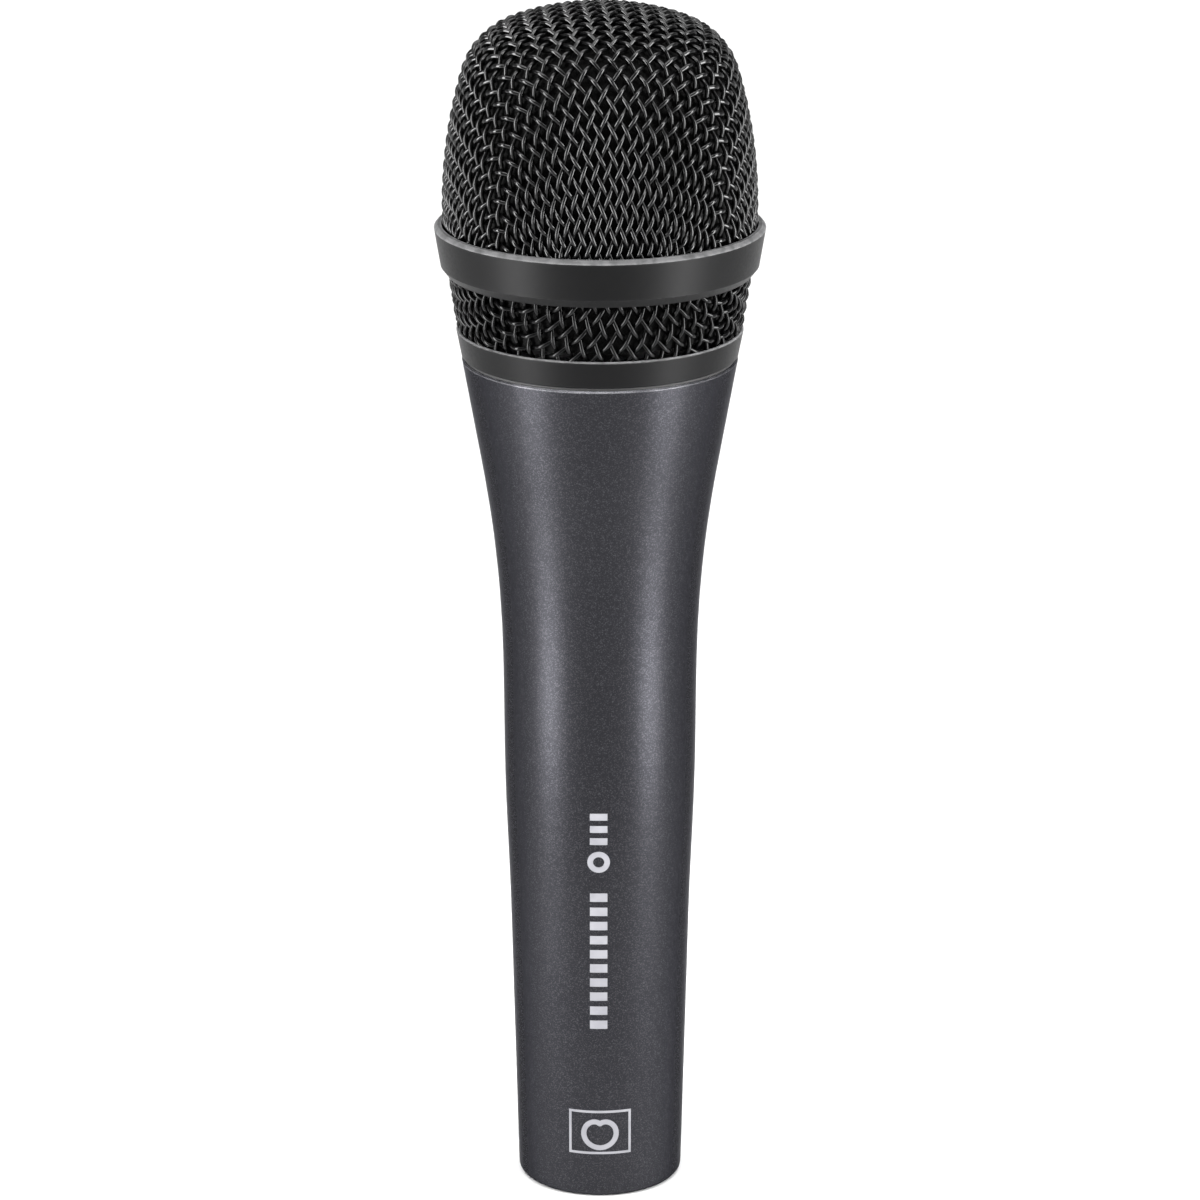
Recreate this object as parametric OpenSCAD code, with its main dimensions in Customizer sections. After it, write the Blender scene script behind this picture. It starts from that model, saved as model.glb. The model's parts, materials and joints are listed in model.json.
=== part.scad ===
// Handheld dynamic vocal microphone: a tapered handle with a male three-pin socket in its base,
// a screwed-on ball head of woven wire, and a moving-coil capsule floating on a rubber mount.
// Millimetres, +Z up towards the head, origin at the centre of the handle's flat base,
// -Y is the front, +Y is the keyed side of the socket.

/* [Overall] */
// Height of the handle from its flat base to the seam under the collar
handle_len = 128.2; // [105:0.1:155]
// Diameter of the handle at its base
handle_base_d = 24.7; // [24:0.1:30]
// Diameter of the handle at its mouth
handle_top_d = 40.3; // [40:0.1:49]
// Diameter of the ring round the widest part of the head
ring_d = 48; // [40:0.1:58]
// Height of the wire dome above the ring's top face
dome_h = 31.9; // [26.5:0.1:38.5]

/* [Handle] */
// Height at which the slender part ends and the flare starts
flare_z = 84; // [78:0.5:88]
// Slope of the slender part, radius gained for each mm of height
taper = 0.0245; // [0.01:0.0005:0.03]
// How far the slender part swells out below the flare
swell = 0.25; // [0:0.05:0.4]
// Radius of the rounded edge at the base
base_round = 0.9; // [0.4:0.1:1.2]
// Thickness of the handle's wall above the transformer
handle_wall = 2.2; // [1.6:0.1:2.6]

/* [Head] */
// Pitch of the thread that holds the head on
thread_pitch = 1.2; // [1:0.05:1.5]
// Depth of the thread's ridge
thread_h = 0.55; // [0.4:0.05:0.6]
// Height of the black collar under the lower mesh
collar_h = 4.1; // [3.6:0.1:5]
// Thickness of the two crossed wires of the mesh
mesh_t = 1.3; // [1:0.05:1.5]
// Height of the bare part of the lower mesh
lower_mesh_h = 8.3; // [7:0.1:10]
// Height of the ring round the head
ring_h = 7.1; // [6:0.1:8.5]
// Thickness of the foam behind the dome
foam_t = 2.6; // [2:0.1:3.2]

/* [Capsule] */
// Diameter of the capsule's frame
capsule_d = 26; // [21.6:0.1:26]
// Diameter of the voice coil, middle of its winding
coil_d = 12.5; // [10.4:0.1:13.5]
// Radial width of air on either side of the voice coil
coil_air = 0.33; // [0.3:0.01:0.45]
// How far the capsule's frame stands above the handle's mouth
frame_rise = 18.8; // [17:0.1:21]
// Height of the magnet
magnet_h = 4.7; // [3.6:0.1:5.5]
// Depth of the rear air chamber below the frame
chamber_len = 28; // [22:0.5:33]

/* [Socket] */
// Diameter of the socket that takes the plug
socket_d = 16.2; // [15.8:0.1:16.6]
// Depth of the socket from the handle's base
socket_depth = 14; // [13:0.1:16]
// Diameter of a contact pin
pin_d = 2.4; // [2:0.05:2.6]
// Distance of each contact pin from the socket's axis
pin_pitch_r = 3.8; // [3.4:0.05:4.2]
// Bare length of a contact pin inside the socket
pin_len = 11.6; // [10:0.1:12.4]

/* [Hidden] */
$fn = 96;

// Colours of the materials
anthracite = [0.16, 0.16, 0.18];
satin_black = [0.07, 0.07, 0.075];
wire_black = [0.1, 0.1, 0.105];
foam_black = [0.05, 0.05, 0.05];
rubber_black = [0.09, 0.09, 0.09];
plastic_black = [0.08, 0.08, 0.09];
steel_grey = [0.62, 0.63, 0.65];
nickel = [0.72, 0.71, 0.68];
gold = [0.83, 0.66, 0.32];
copper = [0.72, 0.4, 0.22];
felt_grey = [0.45, 0.45, 0.44];
clear_film = [0.82, 0.84, 0.86];
board_green = [0.12, 0.32, 0.2];

// Fits: glued or pressed joints keep a hair of space, moving joints a running gap
glue_gap = 0.05;
thread_gap = 0.12;

// Thread ridges: width at the root and at the crest as shares of the pitch, and where they start
ridge_base = 0.68;
ridge_crest = 0.2;
thread_start = 0.45;

// Handle
base_r = handle_base_d / 2;
top_r = handle_top_d / 2;
flare_end_z = handle_len - 16.2;
flare_r = base_r + taper * flare_z;
flare_slope = (top_r - flare_r - taper * (flare_end_z - flare_z) / 2)
    / ((flare_end_z - flare_z) / 2 + handle_len - flare_end_z);
swell_from = 42;
edge_chamfer = 0.22;

// Socket and the bores of the handle
socket_r = socket_d / 2;
insert_r = socket_r + 1.4;
insert_bore_r = insert_r + glue_gap;
insert_recess = 0.4;
insulator_r = socket_r + 0.5;
insulator_h = 6;
insulator_top = socket_depth + insulator_h;
insert_edge = 0.4;
pin_knurl = 0.3;
pin_tip_round = 0.6;
pin_shoulder = 0.5;
pin_shoulder_h = 0.7;
cup_r = pin_d / 2 + 0.25;
cup_bore_r = 0.75;
cup_h = 3.5;
cup_floor = insulator_top + pin_shoulder_h + 0.9;
key_w = 3;
key_depth = 0.8;
key_len = 9;
spring_w = 2;
spring_t = 0.25;
spring_h = 0.95;
insert_top = insulator_top + 1;
lip_h = 2;
lip_r = insert_r - 0.75;
cable_bore_r = insert_r + 0.9;
cradle_z = 60;
cradle_bore_r = cable_bore_r + 1;
screw_z = socket_depth + insulator_h / 2;
screw_r = 1.2;

// Neck and thread
washer_t = 0.4;
washer_inset = 0.4;
washer_gap = 0.3;
head_z = handle_len + washer_t;
neck_press_r = top_r - 3;
thread_major_r = top_r - 1.45;
thread_root_r = thread_major_r - thread_h;
neck_depth = 7;
neck_bottom = handle_len - neck_depth;
thread_len = collar_h - 1.05;
neck_top = head_z + thread_len + 0.2;
neck_bore_r = neck_press_r - 0.95;
mount_ledge_z = handle_len - 1.7;
mount_ledge_r = neck_bore_r - 1.2;
mount_flange_h = 1.85;
neck_edge = 0.3;
clip_t = 0.6;
clip_groove = 0.35;
clip_w = 1.1;
clip_gap = 2.4;
cuff_t = 1.15;
cuff_h = 5.2;
cuff_above_mouth = 1.6;

// Rear chamber, its bumper and the ledge that carries them
capsule_r = capsule_d / 2;
frame_bottom = handle_len + 0.8;
frame_top = handle_len + frame_rise;
chamber_r = capsule_r - 1.2;
chamber_bottom = frame_bottom - chamber_len + 3.2;
chamber_shoulder = chamber_bottom + 4;
chamber_tail_r = 8.6;
chamber_wall = 1.1;
chamber_floor = 1.3;
chamber_edge = 0.8;
chamber_over = chamber_shoulder + 1.2;
lead_hole_r = 0.7;
lead_hole_x = 5.4;
board_t = 1.5;
tag = [0.6, 2, 2.5];
tag_x = 4;
tag_bottom = chamber_bottom - board_t - tag[2];
bumper_ledge_z = chamber_bottom - 3;
bumper_r_in = chamber_tail_r + glue_gap;

// Head
collar_top = head_z + collar_h;
collar_top_r = top_r + 0.73;
collar_lip_t = 0.53;
mesh_seat_z = head_z + thread_len;
ring_r = ring_d / 2;
ring_bottom = collar_top + lower_mesh_h;
ring_top = ring_bottom + ring_h;
ring_wall = 0.9;
dome_r = ring_r - 1.12;
dome_top = ring_top + dome_h;
band_top_r = dome_r - 0.76;
band_bottom_r = collar_top_r + 0.1;
ring_in_r = band_top_r - mesh_t - 0.72;
groove_web_z = ring_bottom + 2.6;
groove_web_t = 1;
rim_round = 0.27;
ring_chamfer = 0.54;
ring_ease = 0.44;
ring_undercut = 1.15;
ring_step = 0.7;
mesh_roll = 0.9;
sleeve_t = 1.9;

// Dome outline: a long side arc, a tight shoulder arc and a flat crown arc, each tangent to the next
side_arc_r = 70;
side_arc_a = 16.6;
side_arc_z = ring_top + 2.5;
shoulder_r = 10.7;
side_c = [dome_r - side_arc_r, side_arc_z];
shoulder_c = side_c + (side_arc_r - shoulder_r) * [cos(side_arc_a), sin(side_arc_a)];

// Capsule levels, from the frame's top rim
coil_r = coil_d / 2;
coil_t = 0.4;
coil_in_r = coil_r - coil_t / 2;
coil_out_r = coil_r + coil_t / 2;
pole_r = coil_in_r - coil_air;
gap_bore_r = coil_out_r + coil_air;
yoke_r = capsule_r - 2.4;
yoke_top = frame_top - 1;
yoke_floor_t = 1.5;
plate_t = 2.8;
plate_z = yoke_top - plate_t;
yoke_floor_z = plate_z - magnet_h - yoke_floor_t;
shelf_bottom = yoke_floor_z - 1.9;
film_t = 0.15;
film_rise = 1.3;
dome_bulge = 2.2;
bulge_r = (pow(coil_out_r, 2) + pow(dome_bulge, 2)) / (2 * dome_bulge);
bulge_a = acos(coil_out_r / bulge_r);
clamp_h = 0.85;
clamp_z = frame_top + film_t;
cap_z = clamp_z + clamp_h;
cap_wall_h = 4.2;
cap_plate_t = 1.2;
cloth_t = 0.6;
cap_wall = 1.05;
cap_edge = 0.5;
cap_hole_r = 1;
cap_hole_pitch = 3.6;
clamp_w = 1.7;
clamp_r_in = capsule_r - 2 * glue_gap - clamp_w;
film_rim_w = 1;
former_t = 0.2;
former_z = yoke_top + 0.4;
winding_below_plate = 0.6;
frame_wall = 1;
frame_rim_w = 2;
frame_rim_h = 0.8;
felt_h = 0.9;
felt_ledge = 0.6;
felt_z = plate_z - 0.4;
shelf_w = 1.2;
vent = [3, 3.2, 2.2];
hum_coil_w = 3;
hum_coil_h = 3.2;
magnet_inset = 0.3;

// Transformer
core = [14, 9, 14];
core_leg = 3;
core_mid_leg = 4.4;
core_yoke = 3;
cradle_slot = [7, 3];
bobbin_wall = 0.5;
bobbin_flange_t = 0.6;
winding_t = 1;
core_z = cradle_z + 1.4;
winding_y = 6.6;
bobbin_h = core[2] - 2 * core_yoke - 0.1;
bobbin_bottom = core_z + (core[2] - bobbin_h) / 2;
cradle_h = bobbin_bottom - cradle_z - 0.15;

// Points of an arc of radius r round c, from angle a0 to a1
function arc(c, r, a0, a1, n) =
    [for (i = [0:n]) let (a = a0 + (a1 - a0) * i / n) c + r * [cos(a), sin(a)]];

// Angle at which the shoulder arc meets a crown arc centred on the axis whose top is at dome_top
function crown_error(a) =
    let (p = shoulder_c + shoulder_r * [cos(a), sin(a)], r = p[0] / cos(a))
    p[1] - r * sin(a) + r - dome_top;
function crown_angle(lo, hi, n) =
    let (mid = (lo + hi) / 2)
    n == 0 ? mid : crown_error(mid) > 0 ? crown_angle(mid, hi, n - 1) : crown_angle(lo, mid, n - 1);
crown_a = crown_angle(side_arc_a + 1, 88, 40);
crown_r = shoulder_c[0] / cos(crown_a) + shoulder_r;
crown_c = [0, shoulder_c[1] + shoulder_r * sin(crown_a) - crown_r * sin(crown_a)];

// Dome outline set in by t from the outer face, from height z up to the axis
function dome_outline(t, z) = concat(
    [[dome_r - t, z]],
    arc(side_c, side_arc_r - t, 0, side_arc_a, 8),
    arc(shoulder_c, shoulder_r - t, side_arc_a + 3, crown_a, 14),
    arc(crown_c, crown_r - t, crown_a + 2, 90, 9));

// Reversed list, for the second side of a wall
function backwards(p) = [for (i = [len(p) - 1:-1:0]) p[i]];

// Raised cosine from 0 to 1 and back over the slender part's upper half
function bump(z) = z < swell_from || z > flare_z ? 0
    : (1 - cos(360 * (z - swell_from) / (flare_z - swell_from))) / 2;

// Outer radius of the handle: even taper, then a flare whose slope grows evenly and then stays
function handle_r(z) = z <= flare_z ? base_r + taper * z + swell * bump(z)
    : z <= flare_end_z ? flare_r + taper * (z - flare_z)
        + (flare_slope - taper) * pow(z - flare_z, 2) / (2 * (flare_end_z - flare_z))
    : handle_r(flare_end_z) + flare_slope * (z - flare_end_z);

// Solid of revolution from a closed outline of [radius, height]
module turned(outline) {
    rotate_extrude() polygon(outline);
}

// Hollow ring from z0 to z1
module ring(r_out, r_in, z0, z1) {
    turned([[r_in, z0], [r_out, z0], [r_out, z1], [r_in, z1]]);
}

// Helical ridge standing from root_r to crest_r, fading out over its last eighth of a turn
module ridge(root_r, crest_r, z0, turns, base_w, crest_w) {
    steps = 48;
    n = floor(turns * steps);
    out = crest_r > root_r;
    sink = out ? -0.3 : 0.3;
    sections = [for (i = [0:n])
        let (a = 360 * i / steps, z = z0 + thread_pitch * i / steps,
            fade = max(0.03, min(1, i / 6, (n - i) / 6)),
            top = root_r + (crest_r - root_r) * fade, d = [cos(a), sin(a)])
        [[(root_r + sink) * d[0], (root_r + sink) * d[1], z - base_w / 2],
         [top * d[0], top * d[1], z - crest_w / 2],
         [top * d[0], top * d[1], z + crest_w / 2],
         [(root_r + sink) * d[0], (root_r + sink) * d[1], z + base_w / 2]]];
    pts = [for (s = sections) each s];
    side = [for (i = [0:n - 1], k = [0:3])
        let (a = i * 4 + k, b = i * 4 + (k + 1) % 4, c = b + 4, d = a + 4)
        each out ? [[a, b, c], [a, c, d]] : [[a, d, c], [a, c, b]]];
    last = n * 4;
    ends = out ? [[3, 2, 1, 0], [last, last + 1, last + 2, last + 3]]
        : [[0, 1, 2, 3], [last + 3, last + 2, last + 1, last]];
    polyhedron(points = pts, faces = concat(side, ends), convexity = 10);
}

// Point at t on the smooth curve through four neighbouring way-points
function spline(a, b, c, d, t) =
    0.5 * (2 * b + (c - a) * t + (2 * a - 5 * b + 4 * c - d) * t * t
        + (3 * b - a - 3 * c + d) * t * t * t);

// Round insulated lead of radius r along a smooth curve through way-points, eight-sided
module lead(way, r) {
    per = 6;
    sides = 8;
    m = len(way) - 1;
    path = concat([for (i = [0:m - 1], k = [0:per - 1])
        spline(way[max(0, i - 1)], way[i], way[i + 1], way[min(m, i + 2)], k / per)], [way[m]]);
    n = len(path) - 1;
    pts = [for (i = [0:n])
        let (t0 = path[min(n, i + 1)] - path[max(0, i - 1)], t = t0 / norm(t0),
            u0 = cross(t, [0, 1, 0]), u = u0 / norm(u0), v = cross(t, u))
        for (k = [0:sides - 1])
            path[i] + r * (cos(360 * k / sides) * u + sin(360 * k / sides) * v)];
    side = [for (i = [0:n - 1], k = [0:sides - 1])
        let (a = i * sides + k, b = i * sides + (k + 1) % sides, c = b + sides, d = a + sides)
        each [[a, d, c], [a, c, b]]];
    start = [for (k = [0:sides - 1]) k];
    end = [for (k = [sides - 1:-1:0]) n * sides + k];
    polyhedron(points = pts, faces = concat(side, [start, end]), convexity = 6);
}

// Die-cast handle: tapered tube with the socket's bore below and the neck's seat above
module handle_shell() {
    outer = concat(
        arc([base_r - base_round, base_round], base_round, -90, 0, 8),
        [for (i = [1:28]) let (z = base_round + (handle_len - edge_chamfer - base_round) * i / 28)
            [handle_r(z), z]],
        [[top_r - edge_chamfer, handle_len]]);
    wide_z = bumper_ledge_z + 9;
    relief_z = neck_bottom - 4;
    inner = [
        [neck_press_r + glue_gap, handle_len],
        [neck_press_r + glue_gap, neck_bottom - 0.3],
        [handle_r(relief_z) - handle_wall, relief_z],
        [handle_r(wide_z) - handle_wall, wide_z],
        [handle_r(bumper_ledge_z) - handle_wall, bumper_ledge_z],
        [cradle_bore_r, bumper_ledge_z],
        [cradle_bore_r, cradle_z],
        [cable_bore_r, cradle_z],
        [cable_bore_r, insert_top + lip_h],
        [lip_r, insert_top + lip_h],
        [lip_r, insert_top],
        [insert_bore_r, insert_top],
        [insert_bore_r, 0]];
    color(anthracite) difference() {
        turned(concat(outer, inner));
        translate([0, insert_r - insert_edge, screw_z]) rotate([-90, 0, 0])
            cylinder(r = screw_r + glue_gap, h = base_r, $fn = 32);
    }
}

// Threaded neck glued into the handle's mouth, with the ledge that carries the rubber mount
module threaded_neck() {
    clip_z = mount_ledge_z + mount_flange_h;
    color(satin_black) union() {
        turned([
            [mount_ledge_r, neck_bottom], [neck_press_r, neck_bottom],
            [neck_press_r, handle_len], [thread_root_r, handle_len],
            [thread_root_r, neck_top - neck_edge], [thread_root_r - neck_edge, neck_top],
            [neck_bore_r, neck_top], [neck_bore_r, clip_z + clip_t + glue_gap],
            [neck_bore_r + clip_groove, clip_z + clip_t + glue_gap],
            [neck_bore_r + clip_groove, clip_z],
            [neck_bore_r, clip_z], [neck_bore_r, mount_ledge_z],
            [mount_ledge_r, mount_ledge_z]]);
        ridge(thread_root_r, thread_major_r, head_z + thread_start,
            (neck_top - head_z - thread_start - 0.5) / thread_pitch,
            ridge_base * thread_pitch, ridge_crest * thread_pitch);
    }
}

// Thin seal between the handle's mouth and the collar
module seal_washer() {
    color(rubber_black) ring(top_r - washer_inset, thread_major_r + washer_gap,
        handle_len, head_z);
}

// Collar with the thread of the head, carrying the lower mesh in its lip
module collar_ring() {
    bore_r = thread_major_r + thread_gap;
    color(satin_black) union() {
        turned(concat(
            [[bore_r, head_z], [top_r - 0.15, head_z], [top_r + 0.02, head_z + 0.15],
             [collar_top_r, collar_top - rim_round - 0.03]],
            arc([collar_top_r - rim_round, collar_top - rim_round], rim_round, 0, 180, 8),
            [[collar_top_r - collar_lip_t, mesh_seat_z], [bore_r, mesh_seat_z]]));
        ridge(bore_r, thread_root_r + thread_gap, head_z + thread_start + thread_pitch / 2,
            (thread_len - thread_start - 0.05) / thread_pitch - 0.5 - ridge_base / 2,
            ridge_base * thread_pitch, ridge_crest * thread_pitch);
    }
}

// Outline of the lower mesh's outer face, set in by t, from the ring's groove down to the collar
function band_outline(t, z_low) =
    let (r_low = collar_top_r - collar_lip_t - glue_gap, k = 5)
    concat([[band_top_r - t, groove_web_z], [band_top_r - t, ring_bottom]],
        [for (i = [0:k]) let (z = collar_top + mesh_roll * (1 - i / k))
            [band_bottom_r + (band_top_r - band_bottom_r) * (z - collar_top) / lower_mesh_h
                - t - (band_bottom_r - r_low) * pow(i / k, 2), z]],
        [[r_low - t, z_low]]);

// Lower band of woven wire between collar and ring
module lower_mesh() {
    color(wire_black) turned(concat(band_outline(0, mesh_seat_z),
        backwards(band_outline(mesh_t, mesh_seat_z))));
}

// Ring round the head: a channel above and below takes the edges of the two meshes
module grille_ring() {
    top_groove_z = groove_web_z + groove_web_t;
    color(satin_black) turned([
        [ring_in_r, ring_bottom],
        [band_top_r - mesh_t - glue_gap, ring_bottom],
        [band_top_r - mesh_t - glue_gap, groove_web_z],
        [band_top_r + glue_gap, groove_web_z],
        [band_top_r + glue_gap, ring_bottom],
        [ring_r - ring_wall, ring_bottom + ring_undercut],
        [ring_r, ring_top - ring_chamfer],
        [ring_r - ring_chamfer * ring_ease, ring_top - ring_chamfer * ring_ease],
        [ring_r - ring_chamfer, ring_top],
        [dome_r + glue_gap, ring_top],
        [dome_r + glue_gap, top_groove_z],
        [dome_r - mesh_t - glue_gap, top_groove_z],
        [dome_r - mesh_t - glue_gap, ring_top - ring_step],
        [ring_in_r, ring_top - ring_step]]);
}

// Deep-drawn dome of woven wire, its edge held in the ring's upper channel
module dome_mesh() {
    foot_z = groove_web_z + groove_web_t;
    color(wire_black) turned(concat(dome_outline(0, foot_z), backwards(dome_outline(mesh_t, foot_z))));
}

// Foam moulded to the inside of the dome, standing on the ring's inner wall
module foam_liner() {
    foot_z = ring_top - ring_step;
    t = mesh_t + glue_gap;
    color(foam_black) turned(concat(dome_outline(t, foot_z), backwards(dome_outline(t + foam_t, foot_z))));
}

// Foam strip glued inside the lower mesh
module foam_sleeve() {
    t = mesh_t + glue_gap;
    z0 = collar_top + mesh_roll;
    z1 = ring_bottom;
    slope = (band_top_r - band_bottom_r) / lower_mesh_h;
    r0 = band_bottom_r + slope * mesh_roll - t;
    r1 = band_top_r - t;
    color(foam_black) turned([[r0, z0], [r1, z1], [r1 - sleeve_t, z1], [r0 - sleeve_t, z0]]);
}

// Perforated front cap that clamps the diaphragm's ring
module front_cap() {
    plate_bottom = cap_z + cap_wall_h;
    cap_r = capsule_r - glue_gap;
    color(plastic_black) difference() {
        turned([[0, plate_bottom], [cap_r - cap_wall, plate_bottom], [cap_r - cap_wall, cap_z],
            [cap_r, cap_z], [cap_r, plate_bottom + cap_plate_t - cap_edge],
            [cap_r - cap_edge, plate_bottom + cap_plate_t], [0, plate_bottom + cap_plate_t]]);
        for (row = [0:2], i = [0:max(0, row * 6 - 1)]) rotate([0, 0, i * 360 / max(1, row * 6)])
            translate([row * cap_hole_pitch, 0, plate_bottom - 1])
                cylinder(r = cap_hole_r, h = cap_plate_t + 2, $fn = 24);
    }
}

// Disc of open cloth glued under the front cap
module front_cloth() {
    color(felt_grey) translate([0, 0, cap_z + cap_wall_h - cloth_t])
        cylinder(r = capsule_r - cap_wall - 3 * glue_gap, h = cloth_t);
}

// Ring that clamps the diaphragm's rim on the frame
module clamp_ring() {
    color(steel_grey) ring(capsule_r - 2 * glue_gap, clamp_r_in, clamp_z, cap_z);
}

// Domed middle of the diaphragm, standing on the voice coil's former
module diaphragm_dome() {
    c = [0, frame_top + film_rise + dome_bulge - bulge_r];
    color(clear_film) turned(concat(
        arc(c, bulge_r, bulge_a, 90, 10), arc(c, bulge_r - film_t, 90, bulge_a, 10)));
}

// Flexible ring of the diaphragm: flat clamped rim, then a smooth rise to the voice coil
module diaphragm_surround() {
    rim_r = clamp_r_in;
    inner_r = coil_out_r + 0.02;
    n = 12;
    rise = [for (i = [0:n]) [rim_r + (inner_r - rim_r) * i / n,
        frame_top + film_rise * (1 - cos(180 * i / n)) / 2 - (i == n ? film_t / 2 : 0)]];
    color(clear_film) turned(concat(
        [[rim_r + film_rim_w, frame_top]], rise,
        backwards([for (p = rise) p + [0, film_t]]), [[rim_r + film_rim_w, frame_top + film_t]]));
}

// Voice coil and its former in the magnet's air gap
module voice_coil() {
    color(copper) union() {
        ring(coil_out_r, coil_in_r, plate_z - winding_below_plate, former_z);
        ring(coil_out_r - glue_gap, coil_out_r - glue_gap - former_t, former_z,
            frame_top + film_rise - film_t * sin(bulge_a));
    }
}

// Round plate on top of the magnet
module pole_plate() {
    color(steel_grey) translate([0, 0, plate_z]) cylinder(r = pole_r, h = plate_t);
}

// Magnet standing on the yoke's floor
module magnet() {
    color(nickel) translate([0, 0, plate_z - magnet_h]) cylinder(r = pole_r - magnet_inset, h = magnet_h);
}

// Steel cup that leads the field round to the gap
module yoke_cup() {
    color(steel_grey) turned([[0, yoke_floor_z], [yoke_r - 0.4, yoke_floor_z],
        [yoke_r, yoke_floor_z + 0.4], [yoke_r, yoke_top], [gap_bore_r, yoke_top],
        [gap_bore_r, yoke_floor_z + yoke_floor_t], [0, yoke_floor_z + yoke_floor_t]]);
}

// Capsule frame: outer tube, shelf under the yoke, ledge for the felt, rim for the diaphragm
module capsule_frame() {
    tube_in = capsule_r - frame_wall;
    seat_r = yoke_r + glue_gap;
    rim_z = frame_top - frame_rim_h;
    color(plastic_black) difference() {
        turned([[tube_in, frame_bottom], [capsule_r, frame_bottom], [capsule_r, frame_top],
            [capsule_r - frame_rim_w, frame_top], [capsule_r - frame_rim_w, rim_z],
            [tube_in, rim_z], [tube_in, felt_z], [tube_in - felt_ledge, felt_z],
            [tube_in, felt_z - 0.8], [tube_in, yoke_floor_z + shelf_w],
            [seat_r, yoke_floor_z + shelf_w], [seat_r, yoke_floor_z],
            [yoke_r - shelf_w, yoke_floor_z], [yoke_r - shelf_w, shelf_bottom],
            [tube_in, shelf_bottom]]);
        for (i = [0:7]) rotate([0, 0, 22.5 + i * 45])
            translate([capsule_r, 0, felt_z + felt_h + vent[2] / 2 + 0.1]) cube(vent, center = true);
    }
}

// Felt ring that damps the way round the magnet to the rear chamber
module acoustic_felt() {
    color(felt_grey) ring(capsule_r - frame_wall - glue_gap, yoke_r + glue_gap,
        felt_z, felt_z + felt_h);
}

// Hum-bucking coil glued under the yoke's floor
module hum_coil() {
    r = yoke_r - shelf_w - 1;
    color(copper) ring(r, r - hum_coil_w, yoke_floor_z - hum_coil_h, yoke_floor_z);
}

// Closed rear chamber: a plastic cup glued into the frame's skirt, narrow at its tail
module rear_chamber() {
    wall = chamber_wall;
    bottom = chamber_bottom;
    color(plastic_black) difference() {
        turned([[0, bottom], [chamber_tail_r, bottom], [chamber_tail_r, chamber_shoulder],
            [chamber_r - chamber_edge, chamber_shoulder],
            [chamber_r, chamber_shoulder + chamber_edge],
            [chamber_r, shelf_bottom], [chamber_r - wall, shelf_bottom],
            [chamber_r - wall, chamber_over], [chamber_tail_r - wall, chamber_over],
            [chamber_tail_r - wall, bottom + chamber_floor], [0, bottom + chamber_floor]]);
        for (s = [-1, 1]) translate([s * lead_hole_x, 0, bottom - 1])
            cylinder(r = lead_hole_r, h = chamber_floor + 2, $fn = 24);
    }
}

// Round board with the capsule's two terminals, glued under the chamber's tail
module terminal_board() {
    color(board_green) translate([0, 0, chamber_bottom - board_t])
        cylinder(r = chamber_tail_r - 0.6, h = board_t);
}

// Two solder tags standing down from the terminal board
module solder_tags() {
    color(nickel) for (s = [-1, 1])
        translate([s * tag_x - tag[0] / 2, -tag[1] / 2, tag_bottom]) cube(tag);
}

// Rubber mount: flange on the neck's ledge, soft cone, cuff gripping the frame's skirt
module shock_mount() {
    cuff_in = capsule_r + glue_gap;
    cuff_out = cuff_in + cuff_t;
    flange_r = neck_bore_r - glue_gap;
    flange_top = mount_ledge_z + mount_flange_h;
    cuff_z = handle_len + cuff_above_mouth;
    color(rubber_black) turned([
        [cuff_out, mount_ledge_z], [flange_r, mount_ledge_z], [flange_r, flange_top],
        [cuff_out + 0.9, flange_top], [cuff_out, cuff_z + 0.8], [cuff_out, cuff_z + cuff_h],
        [cuff_in, cuff_z + cuff_h], [cuff_in, cuff_z - 0.6],
        [cuff_out - 0.2, mount_ledge_z + 1.3]]);
}

// Snap ring that holds the rubber mount's flange down in the neck
module mount_clip() {
    z0 = mount_ledge_z + mount_flange_h;
    color(steel_grey) difference() {
        ring(neck_bore_r + clip_groove - glue_gap, neck_bore_r + clip_groove - clip_w, z0, z0 + clip_t);
        translate([0, neck_bore_r, z0]) cube([clip_gap, 4, 3], center = true);
    }
}

// Rubber ring that carries the chamber's tail on the handle's inner ledge
module tail_bumper() {
    r_out = handle_r(bumper_ledge_z) - handle_wall - 0.2;
    color(rubber_black) turned([[bumper_r_in, bumper_ledge_z], [r_out, bumper_ledge_z],
        [r_out, bumper_ledge_z + 3], [chamber_r - chamber_edge, chamber_shoulder],
        [bumper_r_in, chamber_shoulder]]);
}

// Plastic cradle on the handle's lower ledge, with a pocket for the transformer's core
module transformer_cradle() {
    color(plastic_black) difference() {
        translate([0, 0, cradle_z]) cylinder(r = cradle_bore_r - glue_gap, h = cradle_h);
        translate([0, 0, core_z + core[2] / 2])
            cube([core[0] + 2 * glue_gap, core[1] + 2 * glue_gap, core[2]], center = true);
        for (s = [-1, 1]) translate([0, s * (core[1] / 2 + 2.2), cradle_z + cradle_h / 2])
            cube([cradle_slot[0], cradle_slot[1], cradle_h + 2], center = true);
    }
}

// Stacked steel core with three legs
module transformer_core() {
    window_x = (core[0] - 2 * core_leg - core_mid_leg) / 2;
    window_h = core[2] - 2 * core_yoke;
    color(steel_grey) translate([0, 0, core_z]) difference() {
        translate([-core[0] / 2, -core[1] / 2, 0]) cube(core);
        for (s = [-1, 1])
            translate([s * (core_mid_leg + window_x) / 2, 0, core[2] / 2])
                cube([window_x, core[1] + 2, window_h], center = true);
    }
}

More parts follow.
